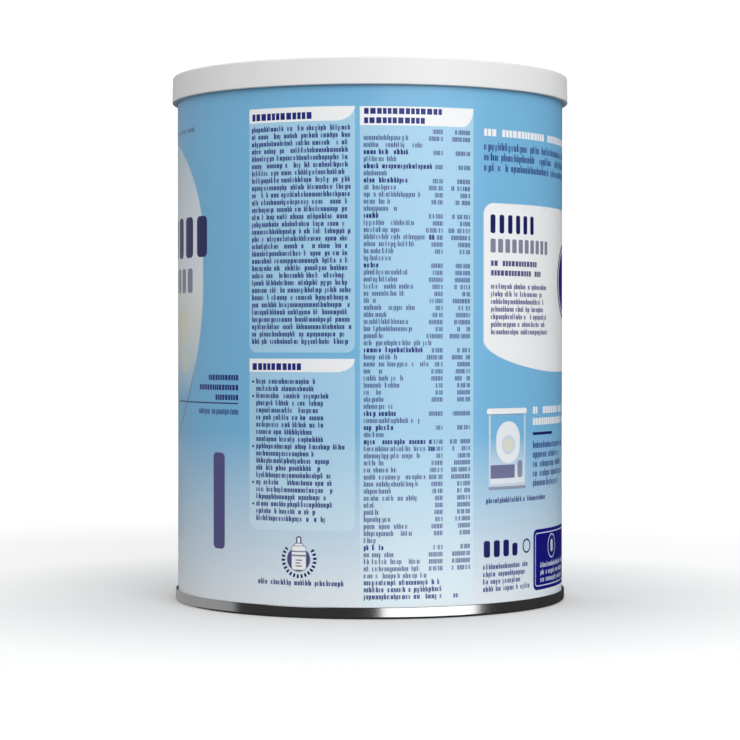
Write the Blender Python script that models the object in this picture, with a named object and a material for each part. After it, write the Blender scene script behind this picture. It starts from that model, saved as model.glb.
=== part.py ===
"""Milk powder tin: a printed steel can, its seamed base end and a push-on plastic lid.

The tin stands on its base with its axis along +Z and the origin at the centre of the base.
All lengths are metres.
"""

import math

import bmesh
import bpy
from mathutils import Matrix

MM = 0.001

# The can, as sold for 800 g of powder
TOTAL_HEIGHT = 171.4 * MM
WALL_RADIUS = 63.5 * MM
FIT_GAP = 0.3 * MM

# The base end: a seam rolled over the wall's lower edge, around a sunk panel with pressed steps
SEAM_RADIUS = 64.25 * MM
SEAM_HEIGHT = 3.7 * MM
SEAM_FOOT_ROUNDING = 0.9 * MM
SEAM_TOP_ROUNDING = 0.3 * MM
STANDING_RING_INNER_RADIUS = 62.0 * MM
PANEL_SUNK_DEPTH = 2.4 * MM
PANEL_THICKNESS = 0.6 * MM
PANEL_STEP_RADII = (54.0 * MM, 40.0 * MM)
PANEL_STEP_DEPTH = 0.5 * MM
PANEL_STEP_SLOPE = 1.2 * MM

# The lid: a skirt with a slight draft, a rounded stacking rim and a sunk top
LID_BOTTOM_HEIGHT = 163.0 * MM
LID_BOTTOM_RADIUS = 65.25 * MM
LID_DRAFT = 0.2 * MM
LID_EDGE_ROUNDING = 0.35 * MM
LID_SHOULDER_ROUNDING = 0.6 * MM
LID_RIM_WIDTH = 2.4 * MM
LID_TOP_SUNK_DEPTH = 2.1 * MM
LID_TOP_THICKNESS = 1.2 * MM
LID_SINK_SLOPE = 0.8 * MM
LID_SINK_ROUNDING = 0.5 * MM
LID_STEP_RADIUS = 50.0 * MM
LID_STEP_DEPTH = 0.4 * MM
LID_STEP_SLOPE = 0.8 * MM

TURN_STEPS = 96
ROUNDING_STEPS = 4
SMOOTH_ANGLE = math.radians(30)


def clear_scene():
    for existing in list(bpy.data.objects):
        bpy.data.objects.remove(existing, do_unlink=True)


def make_material(name, colour, roughness, metallic):
    material = bpy.data.materials.new(name)
    material.use_nodes = True
    shader = material.node_tree.nodes["Principled BSDF"]
    shader.inputs["Base Color"].default_value = (*colour, 1.0)
    shader.inputs["Roughness"].default_value = roughness
    shader.inputs["Metallic"].default_value = metallic
    return material


def rounding(centre_radius, centre_height, radius, start_degrees, end_degrees):
    """Points of an arc in the profile plane, from one angle to another."""
    points = []
    for step in range(ROUNDING_STEPS + 1):
        angle = math.radians(start_degrees + (end_degrees - start_degrees) * step / ROUNDING_STEPS)
        points.append((centre_radius + radius * math.cos(angle), centre_height + radius * math.sin(angle)))
    return points


def finish_solid(name, shape, material):
    """Turn a bmesh into a named object with its material and smooth round faces."""
    mesh = bpy.data.meshes.new(name)
    shape.to_mesh(mesh)
    shape.free()
    mesh.shade_smooth()
    mesh.set_sharp_from_angle(angle=SMOOTH_ANGLE)
    mesh.materials.append(material)
    solid = bpy.data.objects.new(name, mesh)
    bpy.context.scene.collection.objects.link(solid)
    return solid


def turn_profile(name, profile, material):
    """Spin a profile of (radius, height) points around the Z axis into one closed solid."""
    shape = bmesh.new()
    corners = [shape.verts.new((radius, 0.0, height)) for radius, height in profile]
    for upper, lower in zip(corners, corners[1:]):
        shape.edges.new((upper, lower))
    bmesh.ops.spin(
        shape,
        geom=shape.verts[:] + shape.edges[:],
        cent=(0.0, 0.0, 0.0),
        axis=(0.0, 0.0, 1.0),
        angle=2 * math.pi,
        steps=TURN_STEPS,
        use_merge=True,
    )
    bmesh.ops.remove_doubles(shape, verts=shape.verts[:], dist=0.001 * MM)
    bmesh.ops.recalc_face_normals(shape, faces=shape.faces[:])
    return finish_solid(name, shape, material)


def base_end_profile():
    panel_top = PANEL_SUNK_DEPTH + PANEL_THICKNESS
    seat_radius = WALL_RADIUS + FIT_GAP
    profile = [(0.0, panel_top), (seat_radius, panel_top), (seat_radius, SEAM_HEIGHT)]
    profile += rounding(
        SEAM_RADIUS - SEAM_TOP_ROUNDING, SEAM_HEIGHT - SEAM_TOP_ROUNDING, SEAM_TOP_ROUNDING, 90, 0
    )
    profile += rounding(
        SEAM_RADIUS - SEAM_FOOT_ROUNDING, SEAM_FOOT_ROUNDING, SEAM_FOOT_ROUNDING, 0, -90
    )
    profile.append((STANDING_RING_INNER_RADIUS, 0.0))
    profile.append((STANDING_RING_INNER_RADIUS - PANEL_STEP_DEPTH, PANEL_SUNK_DEPTH))
    height = PANEL_SUNK_DEPTH
    for step, radius in enumerate(PANEL_STEP_RADII):
        profile.append((radius, height))
        height += PANEL_STEP_DEPTH if step % 2 else -PANEL_STEP_DEPTH
        profile.append((radius - PANEL_STEP_SLOPE, height))
    profile.append((0.0, height))
    return profile


def lid_profile():
    top_height = TOTAL_HEIGHT - LID_TOP_SUNK_DEPTH
    step_height = top_height - LID_STEP_DEPTH
    underside_height = step_height - LID_TOP_THICKNESS
    rim_outer = LID_BOTTOM_RADIUS - LID_DRAFT - LID_SHOULDER_ROUNDING
    rim_inner = rim_outer - LID_RIM_WIDTH
    skirt_inner = WALL_RADIUS + FIT_GAP
    profile = [(0.0, step_height), (LID_STEP_RADIUS, step_height)]
    profile.append((LID_STEP_RADIUS + LID_STEP_SLOPE, top_height))
    profile.append((rim_inner - LID_SINK_SLOPE - LID_SINK_ROUNDING, top_height))
    profile += rounding(rim_inner, TOTAL_HEIGHT - LID_SINK_ROUNDING, LID_SINK_ROUNDING, 180, 90)
    profile += rounding(
        rim_outer, TOTAL_HEIGHT - LID_SHOULDER_ROUNDING, LID_SHOULDER_ROUNDING, 90, 0
    )
    profile += rounding(
        LID_BOTTOM_RADIUS - LID_EDGE_ROUNDING,
        LID_BOTTOM_HEIGHT + LID_EDGE_ROUNDING,
        LID_EDGE_ROUNDING,
        0,
        -90,
    )
    profile += [(skirt_inner, LID_BOTTOM_HEIGHT), (skirt_inner, underside_height), (0.0, underside_height)]
    return profile


def make_base_end():
    tinplate = make_material("tinplate", (0.62, 0.64, 0.65), 0.22, 1.0)
    return turn_profile("base_end", base_end_profile(), tinplate)


def make_can_body():
    """The filled can: its wall carries the print, and its ends sit in the base end and the lid."""
    printed_steel = make_material("printed_steel", (0.20, 0.49, 0.75), 0.35, 0.0)
    bottom = PANEL_SUNK_DEPTH + PANEL_THICKNESS + FIT_GAP
    top = TOTAL_HEIGHT - LID_TOP_SUNK_DEPTH - LID_STEP_DEPTH - LID_TOP_THICKNESS - FIT_GAP
    shape = bmesh.new()
    bmesh.ops.create_cone(
        shape,
        cap_ends=True,
        segments=TURN_STEPS,
        radius1=WALL_RADIUS,
        radius2=WALL_RADIUS,
        depth=top - bottom,
        matrix=Matrix.Translation((0.0, 0.0, (top + bottom) / 2)),
    )
    return finish_solid("can_body", shape, printed_steel)


def make_lid():
    white_plastic = make_material("white_plastic", (0.86, 0.86, 0.86), 0.42, 0.0)
    return turn_profile("lid", lid_profile(), white_plastic)


clear_scene()
make_base_end()
make_can_body()
make_lid()
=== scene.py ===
import math
import bmesh
import bpy
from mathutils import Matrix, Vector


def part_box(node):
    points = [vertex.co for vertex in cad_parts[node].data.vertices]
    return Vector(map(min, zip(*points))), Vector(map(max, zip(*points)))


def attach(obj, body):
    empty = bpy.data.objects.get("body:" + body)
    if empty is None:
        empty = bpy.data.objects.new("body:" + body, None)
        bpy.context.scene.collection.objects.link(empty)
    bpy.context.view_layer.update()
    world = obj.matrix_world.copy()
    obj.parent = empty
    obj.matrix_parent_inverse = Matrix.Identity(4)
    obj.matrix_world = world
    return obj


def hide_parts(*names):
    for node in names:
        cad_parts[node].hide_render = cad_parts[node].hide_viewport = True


mm = 0.001

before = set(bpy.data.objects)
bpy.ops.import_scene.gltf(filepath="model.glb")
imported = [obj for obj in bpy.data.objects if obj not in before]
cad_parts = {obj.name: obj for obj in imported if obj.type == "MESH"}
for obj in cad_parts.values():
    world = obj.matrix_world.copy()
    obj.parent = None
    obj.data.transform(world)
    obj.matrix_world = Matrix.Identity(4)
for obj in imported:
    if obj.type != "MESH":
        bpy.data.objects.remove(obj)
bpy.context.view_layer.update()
lidLow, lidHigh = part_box("lid")
wallLow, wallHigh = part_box("can_body")
baseLow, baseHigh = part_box("base_end")
print("frame loaded: a tin", round(lidHigh.z / mm, 1), "mm high")


def deselectAll():
    bpy.ops.object.select_all(action="DESELECT")


def addCylinder(name, radius, low, high, sides):
    deselectAll()
    bpy.ops.mesh.primitive_cylinder_add(
        vertices=sides, radius=radius, depth=high - low, location=(0, 0, (low + high) / 2))
    piece = bpy.context.object
    piece.name = name
    bpy.ops.object.transform_apply(location=True, rotation=True, scale=True)
    bpy.ops.object.mode_set(mode="EDIT")
    return piece


def facesUp(face):
    return face.normal.z > 0.9


def facesDown(face):
    return face.normal.z < -0.9


def selectFaces(piece, wanted):
    # in edit mode, only the faces that pass the test stay selected
    bpy.ops.mesh.select_mode(type="FACE")
    bpy.ops.mesh.select_all(action="DESELECT")
    shape = bmesh.from_edit_mesh(piece.data)
    for face in shape.faces:
        face.select_set(bool(wanted(face)))
    bmesh.update_edit_mesh(piece.data)


def selectRing(piece, radius, height):
    # the edge loop that runs round the axis at this radius and height
    margin = 0.02 * mm
    bpy.ops.mesh.select_mode(type="EDGE")
    bpy.ops.mesh.select_all(action="DESELECT")
    shape = bmesh.from_edit_mesh(piece.data)
    for edge in shape.edges:
        onRing = all(
            abs(math.hypot(point.co.x, point.co.y) - radius) < margin
            and abs(point.co.z - height) < margin
            for point in edge.verts)
        edge.select_set(onRing)
    bmesh.update_edit_mesh(piece.data)


def roundRing(piece, radius, height, width, segments):
    selectRing(piece, radius, height)
    bpy.ops.mesh.bevel(offset=width, segments=segments, profile=0.5, affect="EDGES")


def finishPiece(piece, node, materials):
    sharpFrom = math.radians(32)
    bpy.ops.object.mode_set(mode="OBJECT")
    deselectAll()
    piece.select_set(True)
    bpy.context.view_layer.objects.active = piece
    bpy.ops.object.shade_smooth_by_angle(angle=sharpFrom)
    # wide flat faces keep level normals beside their rounded edges
    bpy.ops.object.modifier_add(type="WEIGHTED_NORMAL")
    piece.modifiers[-1].keep_sharp = True
    bpy.ops.object.modifier_apply(modifier=piece.modifiers[-1].name)
    piece.data.name = piece.name
    for material in materials:
        piece.data.materials.append(material)
    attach(piece, "root")
    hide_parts(node)
    print("modelled", piece.name, "with", len(piece.data.polygons), "faces")


def newMaterial(name):
    material = bpy.data.materials.new(name)
    material.use_nodes = True
    return material, material.node_tree, material.node_tree.nodes["Principled BSDF"]


def feed(tree, socket, value):
    # a socket gets a link or a plain value
    if isinstance(value, bpy.types.NodeSocket):
        tree.links.new(value, socket)
    else:
        socket.default_value = value


def step(tree, operation, *values, clamp=False):
    node = tree.nodes.new("ShaderNodeMath")
    node.operation = operation
    node.use_clamp = clamp
    for socket, value in zip(node.inputs, values):
        feed(tree, socket, value)
    return node.outputs[0]


def allOf(tree, *masks):
    result = masks[0]
    for mask in masks[1:]:
        result = step(tree, "MULTIPLY", result, mask)
    return result


def vectorStep(tree, operation, *values):
    node = tree.nodes.new("ShaderNodeVectorMath")
    node.operation = operation
    for socket, value in zip(node.inputs, values):
        feed(tree, socket, value)
    return node.outputs["Value" if operation == "LENGTH" else "Vector"]


def mapped(tree, value, fromLow, fromHigh, toLow, toHigh, smooth=False):
    node = tree.nodes.new("ShaderNodeMapRange")
    node.interpolation_type = "SMOOTHSTEP" if smooth else "LINEAR"
    labels = ("Value", "From Min", "From Max", "To Min", "To Max")
    for label, number in zip(labels, (value, fromLow, fromHigh, toLow, toHigh)):
        feed(tree, node.inputs[label], number)
    return node.outputs["Result"]


def joined(tree, x, y, z=0.0):
    node = tree.nodes.new("ShaderNodeCombineXYZ")
    for socket, value in zip(node.inputs, (x, y, z)):
        feed(tree, socket, value)
    return node.outputs[0]


def split(tree, vector):
    node = tree.nodes.new("ShaderNodeSeparateXYZ")
    feed(tree, node.inputs[0], vector)
    return node.outputs


def noise(tree, vector, scale, detail):
    node = tree.nodes.new("ShaderNodeTexNoise")
    feed(tree, node.inputs["Vector"], vector)
    feed(tree, node.inputs["Scale"], scale)
    node.inputs["Detail"].default_value = detail
    return node.outputs["Fac"]


def dice(tree, x, y, z):
    # three random numbers from 0 to 1 that stay the same for the same place
    node = tree.nodes.new("ShaderNodeTexWhiteNoise")
    node.noise_dimensions = "3D"
    feed(tree, node.inputs["Vector"], joined(tree, x, y, z))
    return split(tree, node.outputs["Color"])


def layInk(tree, below, ink, mask):
    node = tree.nodes.new("ShaderNodeMix")
    node.data_type = "RGBA"
    factor, first, second = node.inputs[0], node.inputs[6], node.inputs[7]
    feed(tree, factor, mask)
    feed(tree, first, below)
    feed(tree, second, ink)
    return node.outputs[2]


def newGroup(name, inputs, outputs):
    tree = bpy.data.node_groups.new(name, "ShaderNodeTree")
    for label, value in inputs.items():
        kind = "NodeSocketVector" if isinstance(value, tuple) else "NodeSocketFloat"
        tree.interface.new_socket(label, in_out="INPUT", socket_type=kind).default_value = value
    for label, kind in outputs.items():
        tree.interface.new_socket(label, in_out="OUTPUT", socket_type="NodeSocket" + kind)
    return tree, tree.nodes.new("NodeGroupInput").outputs


def closeGroup(tree, results):
    made = tree.nodes.new("NodeGroupOutput").inputs
    for label, value in results.items():
        feed(tree, made[label], value)
    return tree


def useGroup(tree, group, **values):
    node = tree.nodes.new("ShaderNodeGroup")
    node.node_tree = group
    for label, value in values.items():
        feed(tree, node.inputs[label], value)
    return node.outputs


def makeLabelPlace():
    # millimetres on the wall: x runs round it from the line that faces the camera, y is the height
    tree = newGroup("labelPlace", {}, {"place": "Vector"})[0]
    x, y, z = split(tree, tree.nodes.new("ShaderNodeTexCoord").outputs["Object"])
    angle = step(tree, "ARCTAN2", x, step(tree, "MULTIPLY", y, -1.0))
    across = step(tree, "MULTIPLY", angle, wallHigh.x / mm)
    return closeGroup(tree, {"place": joined(tree, across, step(tree, "DIVIDE", z, mm))})


def makePanelMask():
    # a filled rectangle with round corners, or a disc when the corners take up all of it
    softEdge = 0.05
    tree, given = newGroup(
        "panelMask",
        {"place": (0.0, 0.0, 0.0), "middle": (0.0, 0.0, 0.0),
         "straight": (1.0, 1.0, 0.0), "round": 1.0},
        {"mask": "Float"})
    offset = vectorStep(tree, "SUBTRACT", given["place"], given["middle"])
    offset = vectorStep(tree, "ABSOLUTE", offset)
    offset = vectorStep(tree, "SUBTRACT", offset, given["straight"])
    offset = vectorStep(tree, "MAXIMUM", offset, (0.0, 0.0, 0.0))
    beyond = step(tree, "SUBTRACT", vectorStep(tree, "LENGTH", offset), given["round"])
    return closeGroup(tree, {"mask": mapped(tree, beyond, -softEdge, softEdge, 1.0, 0.0, smooth=True)})


def makeSweptCorner():
    # 0 beyond a long oval corner of a panel, 1 elsewhere; a negative width makes it a right corner
    softEdge = 0.01
    tree, given = newGroup(
        "sweptCorner",
        {"place": (0.0, 0.0, 0.0), "tip": (0.0, 0.0, 0.0), "size": (1.0, 1.0, 1.0)},
        {"mask": "Float"})
    offset = vectorStep(tree, "SUBTRACT", given["place"], given["tip"])
    offset = vectorStep(tree, "DIVIDE", offset, given["size"])
    offset = vectorStep(tree, "SUBTRACT", (1.0, 1.0, 0.0), offset)
    offset = vectorStep(tree, "MAXIMUM", offset, (0.0, 0.0, 0.0))
    distance = vectorStep(tree, "LENGTH", offset)
    return closeGroup(tree, {"mask": mapped(tree, distance, 1 - softEdge, 1 + softEdge, 1.0, 0.0)})


def makeStrokeRows():
    # rows of fine ticks on pale bars, in runs as long as words, which stand in for lines of small print;
    # with a tone of 1 they are rows of solid blocks
    form = {
        "baseline": 0.78, "boldExtra": 0.16, "waveTurns": 1.3, "waveStarts": 20.0, "waveSize": 0.16,
        "barShare": 0.78, "upFrom": 0.68, "downUnder": 0.12, "downShare": -0.8, "farTicks": 0.72,
        "beforeFirst": -0.5, "firstWord": 1.5,
    }
    tree, given = newGroup(
        "strokeRows",
        {"along": 0.0, "height": 0.0, "width": 30.0, "top": 100.0, "rows": 5.0, "pitch": 2.2,
         "cell": 0.94, "tall": 1.25, "stroke": 0.3, "tone": 0.3, "reach": 0.4, "ragged": 0.2,
         "gaps": 0.14, "boldRows": 0.0, "bareRows": 0.0, "seed": 1.0, "column": 0.0},
        {"mask": "Float"})
    down = step(tree, "DIVIDE", step(tree, "SUBTRACT", given["top"], given["height"]), given["pitch"])
    row = step(tree, "FLOOR", down)
    rise = step(tree, "SUBTRACT", form["baseline"], step(tree, "FRACT", down))
    rise = step(tree, "MULTIPLY", rise, given["pitch"])

    raggedDice, boldDice, waveDice = dice(tree, row, given["seed"], 0.5)
    bold = step(tree, "LESS_THAN", boldDice, given["boldRows"])
    stroke = step(tree, "MULTIPLY_ADD", bold, form["boldExtra"], given["stroke"])

    # the cells differ in width, each row in its own way
    evenCell = step(tree, "DIVIDE", given["along"], given["cell"])
    waveStart = step(tree, "MULTIPLY", waveDice, form["waveStarts"])
    wave = step(tree, "SINE", step(tree, "MULTIPLY_ADD", evenCell, form["waveTurns"], waveStart))
    wave = step(tree, "SUBTRACT", wave, step(tree, "SINE", waveStart))
    cellPlace = step(tree, "MULTIPLY_ADD", wave, form["waveSize"], evenCell)
    cell = step(tree, "FLOOR", cellPlace)
    inCell = step(tree, "MULTIPLY", step(tree, "FRACT", cellPlace), given["cell"])

    rowCells = step(tree, "SUBTRACT", 1.0, step(tree, "MULTIPLY", raggedDice, given["ragged"]))
    rowCells = step(tree, "MULTIPLY", rowCells, step(tree, "DIVIDE", given["width"], given["cell"]))
    inRows = allOf(
        tree,
        step(tree, "GREATER_THAN", cell, form["beforeFirst"]),
        step(tree, "LESS_THAN", cell, step(tree, "FLOOR", rowCells)),
        step(tree, "GREATER_THAN", down, 0.0),
        step(tree, "LESS_THAN", down, given["rows"]),
        step(tree, "GREATER_THAN", boldDice, given["bareRows"]))

    cellSeed = step(tree, "ADD", given["seed"], given["column"])
    gapDice, formDice, reachDice = dice(tree, cell, row, cellSeed)
    barWidth = step(tree, "MULTIPLY", given["cell"], form["barShare"])

    # the near tick may reach above or below the bar, and some cells have a far tick too
    reachUp = step(tree, "GREATER_THAN", reachDice, form["upFrom"])
    reachUp = step(tree, "MULTIPLY", reachUp, given["reach"])
    reachUp = step(tree, "MULTIPLY", step(tree, "ADD", reachUp, 1.0), given["tall"])
    reachDown = step(tree, "LESS_THAN", reachDice, form["downUnder"])
    reachDown = step(tree, "MULTIPLY", reachDown, given["reach"])
    downTall = step(tree, "MULTIPLY", given["tall"], form["downShare"])
    reachDown = step(tree, "MULTIPLY", reachDown, downTall)
    nearTick = allOf(
        tree,
        step(tree, "LESS_THAN", inCell, stroke),
        step(tree, "LESS_THAN", rise, reachUp),
        step(tree, "GREATER_THAN", rise, reachDown))
    farTick = step(tree, "GREATER_THAN", inCell, step(tree, "SUBTRACT", barWidth, stroke))
    farTick = step(tree, "MULTIPLY", farTick, step(tree, "LESS_THAN", formDice, form["farTicks"]))
    bar = allOf(
        tree,
        step(tree, "MAXIMUM", farTick, given["tone"]),
        step(tree, "GREATER_THAN", rise, 0.0),
        step(tree, "LESS_THAN", rise, given["tall"]),
        step(tree, "LESS_THAN", inCell, barWidth))

    mask = step(tree, "MAXIMUM", nearTick, bar)
    # each row starts with a word
    inWord = step(tree, "GREATER_THAN", gapDice, given["gaps"])
    inWord = step(tree, "MAXIMUM", inWord, step(tree, "LESS_THAN", cell, form["firstWord"]))
    return closeGroup(tree, {"mask": allOf(tree, mask, inRows, inWord)})


def makeDashRing():
    # a ring of short dashes with a gap at its top
    tree, given = newGroup(
        "dashRing",
        {"place": (0.0, 0.0, 0.0), "middle": (0.0, 0.0, 0.0), "radius": 5.0, "halfWidth": 0.6,
         "dashes": 24.0, "filled": 0.6, "gap": 0.7},
        {"mask": "Float"})
    offset = vectorStep(tree, "SUBTRACT", given["place"], given["middle"])
    across, height = split(tree, offset)[:2]
    angle = step(tree, "ARCTAN2", across, height)
    turn = step(tree, "MULTIPLY", angle, given["dashes"])
    turn = step(tree, "FRACT", step(tree, "DIVIDE", turn, 2 * math.pi))
    mask = allOf(
        tree,
        step(tree, "COMPARE", vectorStep(tree, "LENGTH", offset), given["radius"], given["halfWidth"]),
        step(tree, "LESS_THAN", turn, given["filled"]),
        step(tree, "GREATER_THAN", step(tree, "ABSOLUTE", angle), given["gap"]))
    return closeGroup(tree, {"mask": mask})


def makeSurfaceWear():
    # slow patches, fine grain and faint scuffs, which every finish on the tin has
    tree, given = newGroup(
        "surfaceWear",
        {"patchScale": 25.0, "grainScale": 900.0, "scuffs": 0.2},
        {"patches": "Float", "grain": "Float", "scuffMask": "Float"})
    streakScale = (60.0, 60.0, 700.0)
    streakCut = (0.66, 0.74)
    place = tree.nodes.new("ShaderNodeTexCoord").outputs["Object"]
    streaks = noise(tree, vectorStep(tree, "MULTIPLY", place, streakScale), 1.0, 4.0)
    scuffed = mapped(tree, streaks, *streakCut, 0.0, 1.0)
    return closeGroup(tree, {
        "patches": noise(tree, place, given["patchScale"], 3.0),
        "grain": noise(tree, place, given["grainScale"], 2.0),
        "scuffMask": step(tree, "MULTIPLY", scuffed, given["scuffs"])})


patchRange = (0.3, 0.7)  # where the noise of the patches lies


def addWear(tree, look):
    settings = {label: look[label] for label in ("patchScale", "grainScale", "scuffs")}
    return useGroup(tree, surfaceWear, **settings)


def finishSurface(tree, shader, look, colour, wear):
    # the colour, a patchy roughness with scuffs, and the grain
    tree.links.new(colour, shader.inputs["Base Color"])
    roughness, spread = look["roughness"]
    patchy = mapped(tree, wear["patches"], *patchRange, roughness - spread, roughness + spread)
    worn = step(tree, "ADD", patchy, wear["scuffMask"], clamp=True)
    tree.links.new(worn, shader.inputs["Roughness"])
    bump = tree.nodes.new("ShaderNodeBump")
    bump.inputs["Strength"].default_value = look["bump"]
    bump.inputs["Distance"].default_value = look["bumpDepth"]
    tree.links.new(wear["grain"], bump.inputs["Height"])
    tree.links.new(bump.outputs["Normal"], shader.inputs["Normal"])


labelPlace = makeLabelPlace()
panelMask = makePanelMask()
sweptCorner = makeSweptCorner()
strokeRows = makeStrokeRows()
dashRing = makeDashRing()
surfaceWear = makeSurfaceWear()
print("pattern groups ready")

# the print, bottom layer first; all its sizes and places are millimetres on the wall
inks = {
    "sky": (0.187, 0.490, 0.765, 1.0),
    "foot": (0.860, 0.910, 0.940, 1.0),  # the sky ink fades to this at the foot of the tin
    "white": (0.910, 0.925, 0.940, 1.0),
    "veil": (0.720, 0.930, 1.000, 1.0),
    "mist": (0.560, 0.690, 0.780, 1.0),
    "cream": (0.760, 0.760, 0.640, 1.0),
    "butter": (0.800, 0.740, 0.460, 1.0),
    "navy": (0.006, 0.007, 0.120, 1.0),
    "smallPrint": (0.009, 0.019, 0.215, 1.0),
    "royal": (0.001, 0.001, 0.220, 1.0),
    "violet": (0.080, 0.078, 0.245, 1.0),
    "grey": (0.240, 0.250, 0.350, 1.0),
    "pale": (0.620, 0.730, 0.850, 1.0),
    "steel": (0.560, 0.570, 0.580, 1.0),
}
skyFade = {"top": 57.0, "bottom": 2.0}

# roughness is given as a middle and a spread, here and for the plain surfaces further down
printFinish = {
    "patchScale": 30.0, "grainScale": 1400.0, "scuffs": 0.012, "roughness": (0.30, 0.03),
    "bump": 0.05, "bumpDepth": 0.02 * mm,
}

infoPanels = [  # a pale field under a white header with a swept corner
    {"left": -39.9, "right": -4.6, "top": 156.5, "bottom": 81.4, "header": 4.4, "round": 2.6,
     "sweep": 6.0},
    {"left": -39.9, "right": -4.6, "top": 79.5, "bottom": 26.8, "header": 4.1, "round": 2.6,
     "sweep": 6.0},
    {"left": -3.1, "right": 33.4, "top": 156.4, "bottom": 4.0, "header": 5.8, "round": 0.8,
     "sweep": 4.2},
    {"left": 128.0, "right": 188.0, "top": 156.4, "bottom": 92.0, "header": 4.4, "round": 2.6,
     "sweep": 6.0},
    {"left": 128.0, "right": 188.0, "top": 88.0, "bottom": 52.0, "header": 4.4, "round": 2.6,
     "sweep": 6.0},
]
infoLook = {"cover": 0.38, "ink": "veil", "headerInk": "white", "headerRound": 0.1}

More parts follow.
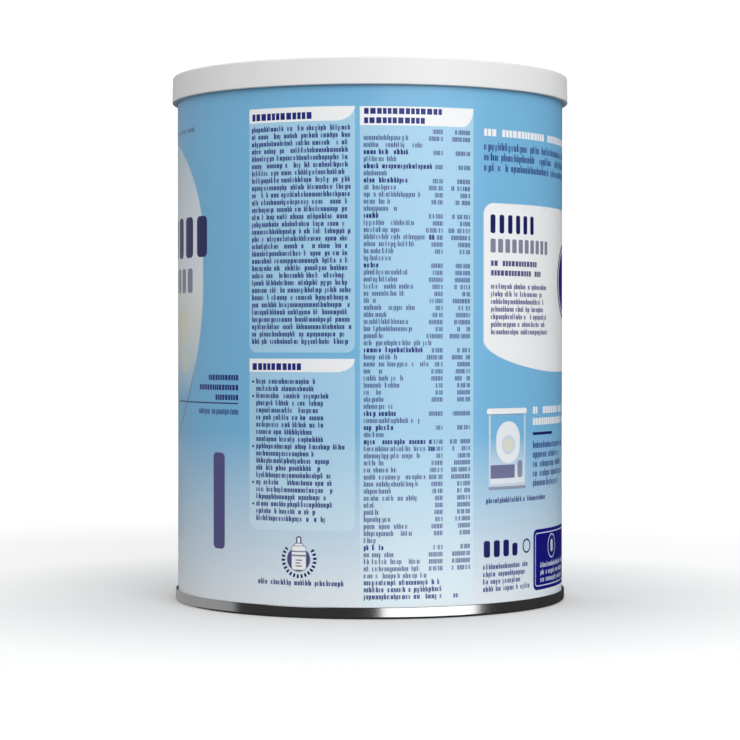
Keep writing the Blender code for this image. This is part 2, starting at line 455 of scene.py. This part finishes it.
frontField = {
    "left": -171.0, "right": -62.4, "bottom": 50.0, "top": 149.5, "round": 33.0,
    "sweeps": {"lowerLeft": (40.0, 55.0), "lowerRight": (40.0, 55.0)},
}
lowFade = ("height", 99.0, 66.0)  # solid above the first height and gone at the second
panels = [
    # the big oval field on the front, mist at its top and cream lower down, with a thin edge below
    {**frontField, "ink": "mist", "fades": [lowFade]},
    {**frontField, "ink": "white", "cover": 0.62, "fades": [("height", 118.0, 146.0), lowFade]},
    {**frontField, "ink": "cream", "cover": 0.75, "fades": [("height", 88.0, 106.0), lowFade]},
    {**frontField, "ink": "navy", "outline": 0.4, "cover": 0.7, "fades": [("height", 72.0, 80.0)]},
    # soft discs along the foot of the field
    *[{"left": middle - size, "right": middle + size, "bottom": level - size, "top": level + size,
       "round": size, "ink": "butter", "cover": 0.45}
      for middle, level, size in (
          (-80.0, 90.0, 6.0), (-77.0, 78.0, 3.6), (-96.0, 80.0, 8.0), (-110.0, 86.0, 4.6),
          (-123.0, 79.0, 7.0), (-137.0, 87.0, 4.2), (-149.0, 82.0, 6.4))],
    # its two rows of title blocks
    *[{"left": -66.6 - 9.6 * n, "right": -60.0 - 9.6 * n, "bottom": 111.6, "top": 124.6,
       "round": 1.8, "ink": "navy"} for n in range(11)],
    *[{"left": -74.4 - 6.4 * n, "right": -70.0 - 6.4 * n, "bottom": 100.4, "top": 108.2,
       "round": 1.2, "ink": "grey"} for n in range(12)],
    # the wide band low on the front and the tall bar beside it
    {"left": -170.0, "right": -74.0, "bottom": 20.9, "top": 44.1, "round": 0.6, "ink": "violet",
     "fades": [("across", -170.0, -76.0)]},
    {"left": -56.4, "right": -50.7, "bottom": 19.8, "top": 50.0, "round": 1.6, "ink": "violet"},
    # thin rules
    {"left": -86.0, "right": -44.6, "bottom": 65.3, "top": 65.7, "round": 0.1, "ink": "navy"},
    {"left": 60.0, "right": 74.3, "bottom": 55.2, "top": 56.1, "round": 0.1, "ink": "navy"},
    # the white field on the right, swept at its lower left, with title blocks and a round seal
    {"left": 37.1, "right": 121.0, "bottom": 75.0, "top": 127.7, "round": 4.0, "ink": "white",
     "sweeps": {"lowerLeft": (44.0, 10.5)}},
    *[{"left": 39.9 + 3.7 * n, "right": 41.9 + 3.7 * n, "bottom": 118.4, "top": 124.2, "round": 0.7,
       "ink": "navy"} for n in range(6)],
    *[{"left": 39.9 + 3.1 * n, "right": 42.0 + 3.1 * n, "bottom": 112.4, "top": 116.7, "round": 0.5,
       "ink": "grey"} for n in range(10)],
    {"left": 80.4, "right": 104.4, "bottom": 92.5, "top": 116.5, "round": 12.0, "ink": "royal"},
    {"left": 81.6, "right": 103.2, "bottom": 93.7, "top": 115.3, "round": 10.8, "ink": "white",
     "outline": 0.9},
    # a small plain tin: body, round field, band, lid and foot
    {"left": 39.3, "right": 55.8, "bottom": 39.2, "top": 62.8, "round": 0.7, "ink": "pale"},
    {"left": 40.0, "right": 55.1, "bottom": 40.6, "top": 62.2, "round": 0.5, "ink": "white",
     "cover": 0.75},
    {"left": 40.0, "right": 55.1, "bottom": 40.6, "top": 62.2, "round": 0.5, "ink": "sky",
     "fades": [("height", 55.0, 41.0)]},
    {"left": 42.3, "right": 52.9, "bottom": 46.9, "top": 59.9, "round": 5.2, "ink": "white",
     "cover": 0.9},
    {"left": 44.6, "right": 50.6, "bottom": 49.6, "top": 55.6, "round": 3.0, "ink": "pale"},
    {"left": 45.6, "right": 49.6, "bottom": 50.6, "top": 54.6, "round": 2.0, "ink": "cream"},
    {"left": 40.0, "right": 50.4, "bottom": 42.2, "top": 46.4, "round": 0.3, "ink": "violet",
     "cover": 0.85},
    {"left": 51.8, "right": 54.2, "bottom": 42.2, "top": 47.6, "round": 0.9, "ink": "violet",
     "cover": 0.7},
    {"left": 38.5, "right": 56.5, "bottom": 62.2, "top": 64.0, "round": 0.8, "ink": "white"},
    {"left": 38.9, "right": 56.1, "bottom": 61.9, "top": 62.3, "round": 0.2, "ink": "grey",
     "cover": 0.6},
    {"left": 39.2, "right": 55.9, "bottom": 38.7, "top": 39.7, "round": 0.4, "ink": "grey",
     "cover": 0.8},
    # the dark sign at the lower right, with its outline and ring
    {"left": 60.4, "right": 96.0, "bottom": 5.9, "top": 25.2, "round": 2.0, "ink": "royal"},
    {"left": 61.5, "right": 94.9, "bottom": 7.0, "top": 24.1, "round": 1.3, "ink": "pale",
     "outline": 0.35},
    {"left": 70.6, "right": 77.6, "bottom": 15.4, "top": 23.2, "round": 3.5, "ink": "pale",
     "outline": 0.4},
    {"left": 73.1, "right": 75.1, "bottom": 17.4, "top": 21.4, "round": 1.0, "ink": "pale"},
    # the row of blocks left of the sign
    *[{"left": 37.3 + 4.0 * n, "right": 39.8 + 4.0 * n, "bottom": 17.8, "top": 23.0 - 1.2 * (n > 2),
       "round": 0.8, "ink": "navy"} for n in range(4)],
    {"left": 54.4, "right": 58.6, "bottom": 18.2, "top": 22.8, "round": 2.1, "ink": "navy",
     "outline": 0.55},
    # the feeding bottle on its disc: teat, collar and body with level marks
    {"left": -26.2, "right": -18.6, "bottom": 14.2, "top": 21.8, "round": 3.8, "ink": "violet"},
    {"left": -23.2, "right": -21.4, "bottom": 21.4, "top": 25.1, "round": 0.9, "ink": "navy"},
    {"left": -22.8, "right": -21.8, "bottom": 21.4, "top": 24.7, "round": 0.5, "ink": "white"},
    {"left": -24.1, "right": -20.5, "bottom": 20.8, "top": 23.0, "round": 1.2, "ink": "grey"},
    {"left": -23.9, "right": -20.7, "bottom": 20.8, "top": 22.8, "round": 1.0, "ink": "white"},
    {"left": -24.8, "right": -19.8, "bottom": 14.6, "top": 22.2, "round": 0.9, "ink": "grey"},
    {"left": -24.6, "right": -20.0, "bottom": 14.8, "top": 22.0, "round": 0.8, "ink": "white"},
    {"left": -24.6, "right": -20.0, "bottom": 20.2, "top": 20.6, "round": 0.1, "ink": "grey"},
    {"left": -24.6, "right": -20.0, "bottom": 18.9, "top": 19.4, "round": 0.1, "ink": "grey"},
    {"left": -23.4, "right": -21.2, "bottom": 17.6, "top": 17.9, "round": 0.1, "ink": "navy"},
    {"left": -23.4, "right": -21.8, "bottom": 16.7, "top": 17.0, "round": 0.1, "ink": "navy"},
    {"left": -23.4, "right": -21.2, "bottom": 15.8, "top": 16.1, "round": 0.1, "ink": "navy"},
    # three round marks on the far side
    *[{"left": 131.0 + 20 * n, "right": 145.0 + 20 * n, "bottom": 30.0, "top": 44.0, "round": 7.0,
       "ink": "white"} for n in range(3)],
    {"left": 135.6, "right": 140.4, "bottom": 33.0, "top": 41.0, "round": 2.3, "ink": "navy"},
    {"left": 155.2, "right": 160.8, "bottom": 34.4, "top": 40.0, "round": 2.8, "ink": "navy"},
    {"left": 174.4, "right": 181.6, "bottom": 35.0, "top": 39.0, "round": 0.9, "ink": "navy"},
]

blocks = {"tone": 1.0, "reach": 0.0, "gaps": 0.0, "ragged": 0.0}
rowBlocks = [  # lines of small print; each takes what it doesn't name from rowLook
    {"left": -38.9, "right": -5.6, "top": 151.05, "rows": 30, "pitch": 2.25, "ragged": 0.02},
    {"left": -37.3, "right": -6.5, "top": 73.5, "rows": 20, "pitch": 2.22, "ragged": 0.35},
    {"left": -1.9, "right": 21.0, "top": 147.8, "rows": 63, "pitch": 2.155, "ragged": 0.85,
     "boldRows": 0.12, "seed": 5.0, "tone": 0.22, "stroke": 0.26},
    {"left": 17.0, "right": 22.7, "top": 149.9, "rows": 64, "pitch": 2.155, "ragged": 0.5,
     "bareRows": 0.12, "seed": 5.0, "column": 40.0, "fromRight": True, "gaps": 0.05, "reach": 0.0,
     "tall": 1.4, "tone": 0.2, "stroke": 0.26},
    {"left": 24.6, "right": 32.1, "top": 149.9, "rows": 64, "pitch": 2.155, "ragged": 0.4,
     "bareRows": 0.12, "seed": 5.0, "column": 80.0, "fromRight": True, "gaps": 0.12, "reach": 0.0,
     "tall": 1.4, "tone": 0.2, "stroke": 0.28},
    {"left": -1.9, "right": 30.5, "top": 12.1, "rows": 3, "pitch": 2.155, "ragged": 0.3},
    {**blocks, "left": -38.7, "right": -16.8, "top": 156.0, "rows": 1, "pitch": 4.1, "cell": 1.75,
     "tall": 2.1},
    {**blocks, "left": -38.7, "right": -20.6, "top": 79.2, "rows": 1, "pitch": 4.1, "cell": 1.75,
     "tall": 2.1},
    {**blocks, "left": -1.8, "right": 25.0, "top": 156.3, "rows": 2, "pitch": 2.85, "cell": 1.75,
     "tall": 1.8, "ragged": 0.3},
    {**blocks, "left": 37.4, "right": 96.0, "top": 151.2, "rows": 1, "pitch": 3.6, "cell": 1.8,
     "tall": 2.2, "gaps": 0.12, "ink": "white"},
    {"left": 37.4, "right": 110.0, "top": 146.6, "rows": 3, "pitch": 3.25, "cell": 1.4, "tall": 1.7,
     "stroke": 0.42, "ragged": 0.05},
    {**blocks, "left": 40.1, "right": 66.0, "top": 110.6, "rows": 2, "pitch": 3.0, "cell": 1.5,
     "tall": 1.65, "gaps": 0.1, "ragged": 0.15, "ink": "violet"},
    {"left": 40.1, "right": 71.0, "top": 103.0, "rows": 7, "pitch": 2.36, "cell": 1.0,
     "ragged": 0.15},
    {**blocks, "left": 60.1, "right": 92.0, "top": 64.8, "rows": 2, "pitch": 3.6, "cell": 1.7,
     "tall": 2.2, "gaps": 0.1, "ragged": 0.1, "ink": "white"},
    {"left": 60.1, "right": 90.0, "top": 53.4, "rows": 5, "pitch": 3.0, "cell": 1.3, "tall": 1.6,
     "stroke": 0.40, "ragged": 0.3},
    {"left": 38.2, "right": 69.0, "top": 36.4, "rows": 1, "pitch": 2.3, "ragged": 0.0},
    {"left": 37.1, "right": 59.5, "top": 15.9, "rows": 4, "pitch": 2.3, "ragged": 0.3, "cell": 1.0},
    {"left": 65.0, "right": 92.0, "top": 14.7, "rows": 3, "pitch": 2.3, "cell": 1.2, "ragged": 0.2,
     "ink": "pale", "tone": 0.45},
    {**blocks, "left": -66.0, "right": -44.6, "top": 75.1, "rows": 3, "pitch": 3.1, "cell": 1.25,
     "tall": 1.7, "ragged": 0.45, "gaps": 0.1, "fromRight": True},
    {"left": -66.0, "right": -44.6, "top": 63.8, "rows": 1, "pitch": 2.3, "cell": 1.1,
     "ragged": 0.0, "fromRight": True, "tall": 1.5},
    {"left": -110.0, "right": -68.5, "top": 153.6, "rows": 1, "pitch": 2.4, "cell": 1.1,
     "ragged": 0.0, "fromRight": True, "ink": "violet"},
    {"left": -36.6, "right": -7.8, "top": 11.8, "rows": 1, "pitch": 2.3, "ragged": 0.0},
    {"left": -156.0, "right": -92.0, "top": 41.0, "rows": 2, "pitch": 7.6, "cell": 3.6, "tall": 4.6,
     "stroke": 0.9, "tone": 1.0, "reach": 0.0, "ragged": 0.3, "ink": "white"},
    {**blocks, "left": 129.4, "right": 150.0, "top": 156.0, "rows": 1, "pitch": 4.1, "cell": 1.75,
     "tall": 2.4},
    {**blocks, "left": 129.4, "right": 146.0, "top": 87.6, "rows": 1, "pitch": 4.1, "cell": 1.75,
     "tall": 2.4},
    {"left": 129.2, "right": 186.0, "top": 151.2, "rows": 26, "pitch": 2.25, "ragged": 0.1},
    {"left": 129.2, "right": 186.0, "top": 83.0, "rows": 13, "pitch": 2.25, "ragged": 0.4,
     "boldRows": 0.15},
]
rowLook = {
    "pitch": 2.2, "cell": 0.92, "tall": 1.22, "stroke": 0.32, "tone": 0.36, "reach": 0.45,
    "ragged": 0.2, "gaps": 0.12, "boldRows": 0.0, "bareRows": 0.0, "column": 0.0,
}

bottleRing = {
    "middle": (-22.3, 18.0, 0.0), "radius": 5.2, "halfWidth": 0.58,
    "dashes": 26.0, "filled": 0.52, "gap": 0.85,
}
bullets = {
    "across": -38.5, "top": 73.5, "pitch": 2.22, "rows": (0, 2, 9, 14, 17), "size": 0.38, "ink": "navy",
}
weldStripe = {"halfWidth": 2.6, "ink": "steel", "metal": 0.4, "zonesBeyond": 190.0}
# between two of these edges the wall has its own material
zoneEdges = (-204.0, -57.5, -41.2, -3.9, 35.2, 124.0, 204.0)
zoneMargin = 2.0


def panel(tree, place, item, shrink=0.0):
    # the filled shape of one item, drawn in by a margin if asked
    leastCorner = 0.05
    left, right = item["left"] + shrink, item["right"] - shrink
    bottom, top = item["bottom"] + shrink, item["top"] - shrink
    corner = max(item["round"] - shrink, leastCorner)
    middle = ((left + right) / 2, (bottom + top) / 2, 0.0)
    straight = (max((right - left) / 2 - corner, 0.0), max((top - bottom) / 2 - corner, 0.0), 0.0)
    mask = useGroup(tree, panelMask, place=place, middle=middle, straight=straight, round=corner)["mask"]
    for side, (across, tall) in item.get("sweeps", {}).items():
        tip, sign = (left, 1.0) if side == "lowerLeft" else (right, -1.0)
        size = (sign * across, tall, 1.0)
        swept = useGroup(tree, sweptCorner, place=place, tip=(tip, bottom, 0.0), size=size)["mask"]
        mask = step(tree, "MULTIPLY", mask, swept)
    return mask


def printInfoPanel(tree, place, colour, item):
    field = step(tree, "MULTIPLY", panel(tree, place, item), infoLook["cover"])
    colour = layInk(tree, colour, inks[infoLook["ink"]], field)
    header = {
        **item, "bottom": item["top"] - item["header"], "round": infoLook["headerRound"],
        "sweeps": {"lowerRight": (item["sweep"], item["header"])},
    }
    return layInk(tree, colour, inks[infoLook["headerInk"]], panel(tree, place, header))


def printPanel(tree, place, across, height, colour, item):
    mask = panel(tree, place, item)
    if "outline" in item:
        mask = step(tree, "SUBTRACT", mask, panel(tree, place, item, item["outline"]))
    for direction, solid, gone in item.get("fades", []):
        along = height if direction == "height" else across
        mask = step(tree, "MULTIPLY", mask, mapped(tree, along, solid, gone, 1.0, 0.0))
    if "cover" in item:
        mask = step(tree, "MULTIPLY", mask, item["cover"])
    return layInk(tree, colour, inks[item["ink"]], mask)


def printRows(tree, across, height, colour, item, number):
    look = {**rowLook, "seed": float(number + 1), **item}
    if look.get("fromRight"):
        along = step(tree, "SUBTRACT", look["right"], across)
    else:
        along = step(tree, "SUBTRACT", across, look["left"])
    settings = {label: look[label] for label in (*rowLook, "seed", "top", "rows")}
    width = look["right"] - look["left"]
    mask = useGroup(tree, strokeRows, along=along, height=height, width=width, **settings)["mask"]
    return layInk(tree, colour, inks[look.get("ink", "smallPrint")], mask)


def printZone(low, high):
    # one upright zone of the wall, with only the layers that reach into it
    material, tree, shader = newMaterial("printedSteel")
    place = useGroup(tree, labelPlace)["place"]
    across, height = split(tree, place)[:2]

    def reaches(item):
        return item["left"] < high + zoneMargin and item["right"] > low - zoneMargin

    fade = mapped(tree, height, skyFade["bottom"], skyFade["top"], 1.0, 0.0)
    colour = layInk(tree, inks["sky"], inks["foot"], fade)
    for item in filter(reaches, infoPanels):
        colour = printInfoPanel(tree, place, colour, item)
    for item in filter(reaches, panels):
        colour = printPanel(tree, place, across, height, colour, item)
    for number, item in enumerate(rowBlocks):
        if reaches(item):
            colour = printRows(tree, across, height, colour, item, number)
    if low < bullets["across"] < high:
        size = bullets["size"]
        for row in bullets["rows"]:
            level = bullets["top"] - bullets["pitch"] * (row + 0.5)
            dot = {
                "left": bullets["across"] - size, "right": bullets["across"] + size,
                "bottom": level - size, "top": level + size, "round": size, "ink": bullets["ink"],
            }
            colour = printPanel(tree, place, across, height, colour, dot)
        ring = useGroup(tree, dashRing, place=place, **bottleRing)["mask"]
        colour = layInk(tree, colour, inks["navy"], ring)
    if max(-low, high) > weldStripe["zonesBeyond"]:
        # the welded edge at the back has no ink
        fromBack = step(tree, "SUBTRACT", math.pi * wallHigh.x / mm, step(tree, "ABSOLUTE", across))
        bare = step(tree, "LESS_THAN", fromBack, weldStripe["halfWidth"])
        colour = layInk(tree, colour, inks[weldStripe["ink"]], bare)
        tree.links.new(step(tree, "MULTIPLY", bare, weldStripe["metal"]), shader.inputs["Metallic"])

    finishSurface(tree, shader, printFinish, colour, addWear(tree, printFinish))
    return material


def plainSurface(name, look):
    # one colour in two close tones
    material, tree, shader = newMaterial(name)
    wear = addWear(tree, look)
    tone = mapped(tree, wear["patches"], *patchRange, 0.0, 1.0)
    colour = layInk(tree, *look["tones"], tone)
    shader.inputs["Metallic"].default_value = look["metallic"]
    finishSurface(tree, shader, look, colour, wear)
    return material


def modelWall():
    shape = {
        "sides": 256, "weldHalfTurn": 2.2, "weldSlope": 0.3 * mm, "weldRise": 0.08 * mm,
        "neckHeight": 1.6 * mm, "neckIn": 0.2 * mm,
    }
    piece = addCylinder("printedWall", wallHigh.x, wallLow.z, wallHigh.z, shape["sides"])
    # a slight neck where the wall goes into the base seam
    bpy.ops.mesh.select_all(action="SELECT")
    neckTop = baseHigh.z + shape["neckHeight"]
    bpy.ops.mesh.bisect(plane_co=(0, 0, neckTop), plane_no=(0, 0, 1))
    selectRing(piece, wallHigh.x, wallLow.z)
    narrower = (wallHigh.x - shape["neckIn"]) / wallHigh.x
    bpy.ops.transform.resize(value=(narrower, narrower, 1), center_override=(0, 0, 0))
    # the welded overlap stands a little proud, down the middle of the back
    backAngle = math.radians(shape["weldHalfTurn"])
    selectFaces(piece, lambda face: (
        not facesUp(face)
        and not facesDown(face)
        and math.atan2(abs(face.calc_center_median().x), face.calc_center_median().y) < backAngle))
    bpy.ops.mesh.inset(thickness=shape["weldSlope"], depth=shape["weldRise"], use_boundary=True)
    layOutWall(piece)
    zoneMaterials = [printZone(low, high) for low, high in zip(zoneEdges, zoneEdges[1:])]
    finishPiece(piece, "can_body", zoneMaterials)


def layOutWall(piece):
    # the wall lies flat in two strips, half a turn each, and the two ends sit small between them
    layout = {
        "strip": (0.98, 0.48), "leftEdge": 0.01, "rightHalfFoot": 0.01, "leftHalfFoot": 0.51,
        "endScale": 0.05, "footEnd": 0.25, "topEnd": 0.75, "endMiddle": 0.5,
    }
    scale = layout["endScale"]
    shape = bmesh.from_edit_mesh(piece.data)
    bakeMap = shape.loops.layers.uv.new("OFBake")
    tall = wallHigh.z - wallLow.z
    for face in shape.faces:
        middle = face.calc_center_median()
        onEnd = facesUp(face) or facesDown(face)
        end = layout["topEnd"] if facesUp(face) else layout["footEnd"]
        rightHalf = middle.x > 0
        foot = layout["rightHalfFoot"] if rightHalf else layout["leftHalfFoot"]
        for corner in face.loops:
            point = corner.vert.co
            if onEnd:
                corner[bakeMap].uv = (end + point.x * scale, layout["endMiddle"] + point.y * scale)
                continue
            turn = math.atan2(abs(point.x), -point.y) / math.pi
            across = turn if rightHalf else 1 - turn
            climb = (point.z - wallLow.z) / tall
            corner[bakeMap].uv = (
                layout["leftEdge"] + layout["strip"][0] * across, foot + layout["strip"][1] * climb)
        across = math.atan2(middle.x, -middle.y) * wallHigh.x / mm
        face.material_index = sum(edge < across for edge in zoneEdges[1:-1])
    bmesh.update_edit_mesh(piece.data)


plasticFinish = {
    "tones": ((0.805, 0.810, 0.812, 1.0), (0.830, 0.832, 0.832, 1.0)), "metallic": 0.0,
    "patchScale": 18.0, "grainScale": 2200.0, "scuffs": 0.05, "roughness": (0.46, 0.04),
    "bump": 0.12, "bumpDepth": 0.03 * mm,
}


def modelLid():
    shape = {
        "sides": 256, "draft": 0.2 * mm, "skirtWall": 1.45 * mm,
        "shoulder": 0.55 * mm, "rimWidth": 3.0 * mm, "rimInnerRounding": 0.4 * mm,
        "sink": 2.1 * mm, "sinkSlope": 1.3 * mm, "sinkRounding": 0.4 * mm,
        "stepRadius": 50.8 * mm, "stepSlope": 0.8 * mm, "step": 0.4 * mm, "stepRounding": 0.15 * mm,
        "gateRadius": 3.2 * mm, "gateSlope": 0.5 * mm, "gate": 0.3 * mm,
        "edge": 0.35 * mm, "gapOverCan": 0.1 * mm,
    }
    skirt = lidHigh.x - shape["draft"]
    top = lidHigh.z
    piece = addCylinder("lidCap", skirt, lidLow.z, top, shape["sides"])

    def insetTop(thickness, depth=0.0):
        bpy.ops.mesh.inset(thickness=thickness, depth=depth)

    selectFaces(piece, facesUp)
    insetTop(shape["rimWidth"])
    insetTop(shape["sinkSlope"], -shape["sink"])
    panelRadius = skirt - shape["rimWidth"] - shape["sinkSlope"]
    insetTop(panelRadius - shape["stepRadius"])
    insetTop(shape["stepSlope"], -shape["step"])
    insetTop(shape["stepRadius"] - shape["stepSlope"] - shape["gateRadius"])
    insetTop(shape["gateSlope"], -shape["gate"])
    roundRing(piece, skirt, top, shape["shoulder"], segments=6)
    roundRing(piece, skirt - shape["rimWidth"], top, shape["rimInnerRounding"], segments=4)
    stepTop = top - shape["sink"]
    roundRing(piece, panelRadius, stepTop, shape["sinkRounding"], segments=3)
    stepFoot = stepTop - shape["step"]
    for radius, height in (
            (shape["stepRadius"], stepTop),
            (shape["stepRadius"] - shape["stepSlope"], stepFoot),
            (shape["gateRadius"], stepFoot),
            (shape["gateRadius"] - shape["gateSlope"], stepFoot - shape["gate"])):
        roundRing(piece, radius, height, shape["stepRounding"], segments=2)

    # the hollow under the lid, which the top of the can fills
    selectFaces(piece, facesDown)
    bpy.ops.mesh.inset(thickness=shape["skirtWall"])
    hollow = wallHigh.z + shape["gapOverCan"] - lidLow.z
    bpy.ops.mesh.extrude_region_move(TRANSFORM_OT_translate={"value": (0, 0, hollow)})
    selectRing(piece, skirt, lidLow.z)
    wider = lidHigh.x / skirt
    bpy.ops.transform.resize(value=(wider, wider, 1), center_override=(0, 0, 0))
    roundRing(piece, lidHigh.x, lidLow.z, shape["edge"], segments=4)
    finishPiece(piece, "lid", [plainSurface("whitePlastic", plasticFinish)])


tinplateFinish = {
    "tones": ((0.780, 0.790, 0.800, 1.0), (0.850, 0.855, 0.860, 1.0)), "metallic": 1.0,
    "patchScale": 40.0, "grainScale": 1800.0, "scuffs": 0.05, "roughness": (0.17, 0.03),
    "bump": 0.06, "bumpDepth": 0.02 * mm,
}


def modelBase():
    shape = {
        "sides": 256, "standWidth": 2.25 * mm, "sinkSlope": 0.5 * mm, "sink": 2.4 * mm,
        "foot": 0.9 * mm, "topEdge": 0.3 * mm, "wallOverlap": 0.02 * mm,
        "steps": (54.0 * mm, 40.0 * mm), "stepSlope": 1.2 * mm, "stepRise": 0.5 * mm,
    }
    radius = baseHigh.x
    piece = addCylinder("baseSeam", radius, baseLow.z, baseHigh.z, shape["sides"])
    selectFaces(piece, facesDown)
    bpy.ops.mesh.inset(thickness=shape["standWidth"])
    bpy.ops.mesh.inset(thickness=shape["sinkSlope"], depth=-shape["sink"])
    reached = radius - shape["standWidth"] - shape["sinkSlope"]
    rise = shape["stepRise"]
    for stepRadius in shape["steps"]:
        bpy.ops.mesh.inset(thickness=reached - stepRadius)
        bpy.ops.mesh.inset(thickness=shape["stepSlope"], depth=rise)
        reached = stepRadius - shape["stepSlope"]
        rise = -rise
    # the wall's foot sits in this seat
    selectFaces(piece, facesUp)
    bpy.ops.mesh.inset(thickness=radius - wallHigh.x - shape["wallOverlap"])
    bpy.ops.mesh.extrude_region_move(TRANSFORM_OT_translate={"value": (0, 0, wallLow.z - baseHigh.z)})
    roundRing(piece, radius, baseLow.z, shape["foot"], segments=6)
    roundRing(piece, radius, baseHigh.z, shape["topEdge"], segments=4)
    finishPiece(piece, "base_end", [plainSurface("brightTinplate", tinplateFinish)])


modelLid()
modelWall()
modelBase()


def addCamera():
    view = {
        "distance": 775 * mm, "eyeHeight": 84.3 * mm, "tilt": 0.66,
        "lens": 113.6, "sensorWidth": 36, "clipStart": 0.05,
    }
    bpy.ops.object.camera_add(
        location=(0, -view["distance"], view["eyeHeight"]),
        rotation=(math.radians(90 - view["tilt"]), 0, 0))
    camera = bpy.context.object
    camera.data.lens = view["lens"]
    camera.data.sensor_width = view["sensorWidth"]
    camera.data.clip_start = view["clipStart"]
    bpy.context.scene.camera = camera


def addFloor():
    floorLook = {
        "size": 6.0, "colour": (0.69, 0.69, 0.69, 1.0), "bounce": (0.20, 0.20, 0.20, 1.0),
        "drop": 0.02 * mm, "roughness": 0.9,
        # the glow drops near the tin, a painted shadow round its foot
        "paintedShadowRange": (0.07, 0.17), "glowInPaintedShadow": 0.06, "glowNear": 0.27,
        "farRange": (0.20, 0.75), "glowFar": 0.40,
    }
    deselectAll()
    bpy.ops.mesh.primitive_plane_add(size=floorLook["size"], location=(0, 0, -floorLook["drop"]))
    floor = bpy.context.object
    floor.name = "paleFloor"
    floor.visible_glossy = False
    material, tree, shader = newMaterial("paleFloor")
    # the floor glows for the camera alone: least at the tin, a painted shadow round its foot, and more
    # far from it, where the floor runs out into the white backdrop
    distance = vectorStep(tree, "LENGTH", tree.nodes.new("ShaderNodeTexCoord").outputs["Object"])
    near = mapped(tree, distance, *floorLook["paintedShadowRange"], floorLook["glowInPaintedShadow"], floorLook["glowNear"])
    far = mapped(tree, distance, *floorLook["farRange"], 0.0, floorLook["glowFar"], smooth=True)
    glow = step(tree, "ADD", near, far)
    seen = tree.nodes.new("ShaderNodeLightPath").outputs["Is Camera Ray"]
    colour = layInk(tree, floorLook["bounce"], floorLook["colour"], seen)
    tree.links.new(colour, shader.inputs["Base Color"])
    shader.inputs["Roughness"].default_value = floorLook["roughness"]
    shader.inputs["Specular IOR Level"].default_value = 0.0
    shader.inputs["Emission Color"].default_value = (1, 1, 1, 1)
    tree.links.new(step(tree, "MULTIPLY", glow, seen), shader.inputs["Emission Strength"])
    floor.data.materials.append(material)


def addSoftbox(name, azimuth, distance, height, width, tall, brightness, tilt=0.0):
    # azimuth 0 is beside the camera, and it grows towards the right; tilt turns the light down
    turn = math.radians(azimuth)
    deselectAll()
    bpy.ops.object.light_add(
        type="AREA", location=(math.sin(turn) * distance, -math.cos(turn) * distance, height),
        rotation=(math.radians(90 - tilt), 0, turn))
    light = bpy.context.object
    light.name = name
    light.data.shape = "RECTANGLE"
    light.data.size = width
    light.data.size_y = tall
    light.data.energy = brightness * math.pi * width * tall
    return light


def lightStudio():
    studio = {"ambient": 1.06, "fromAbove": -0.22, "darkReflection": 0.03}
    softboxes = {
        "keySoftbox": {
            "azimuth": 22, "distance": 1.4, "height": 0.75, "width": 1.1, "tall": 1.1,
            "brightness": 2.65, "tilt": 24},
        "seamCard": {
            "azimuth": 35, "distance": 1.3, "height": 0.10, "width": 1.42, "tall": 1.6,
            "brightness": 1.3},
        "leftCard": {
            "azimuth": -125, "distance": 1.3, "height": 0.10, "width": 2.32, "tall": 1.6,
            "brightness": 0.28},
        "edgeCard": {
            "azimuth": -48, "distance": 1.3, "height": 1.0, "width": 0.8, "tall": 0.8,
            "brightness": 1.6, "tilt": 40},
    }
    for name, settings in softboxes.items():
        light = addSoftbox(name, **settings)
        # the key lights without a reflection of its own; the cards are seen only in gloss and metal,
        # as the bright and grey bands on the seam
        if name == "keySoftbox":
            light.visible_glossy = False
        else:
            light.visible_diffuse = False
    world = bpy.data.worlds.new("studioWorld")
    bpy.context.scene.world = world
    world.use_nodes = True
    tree = world.node_tree
    background = tree.nodes["Background"]
    rays = tree.nodes.new("ShaderNodeLightPath").outputs
    # the room is a little darker overhead than at its foot
    rise = split(tree, tree.nodes.new("ShaderNodeTexCoord").outputs["Generated"])[2]
    room = step(tree, "MULTIPLY_ADD", rise, studio["ambient"] * studio["fromAbove"], studio["ambient"])
    level = mapped(tree, rays["Is Glossy Ray"], 0.0, 1.0, room, studio["darkReflection"])
    level = step(tree, "MAXIMUM", level, rays["Is Camera Ray"])
    tree.links.new(level, background.inputs["Strength"])
    background.inputs["Color"].default_value = (1, 1, 1, 1)
    bpy.context.scene.view_settings.view_transform = "Standard"


addCamera()
addFloor()
lightStudio()
print("camera, floor and lights placed")
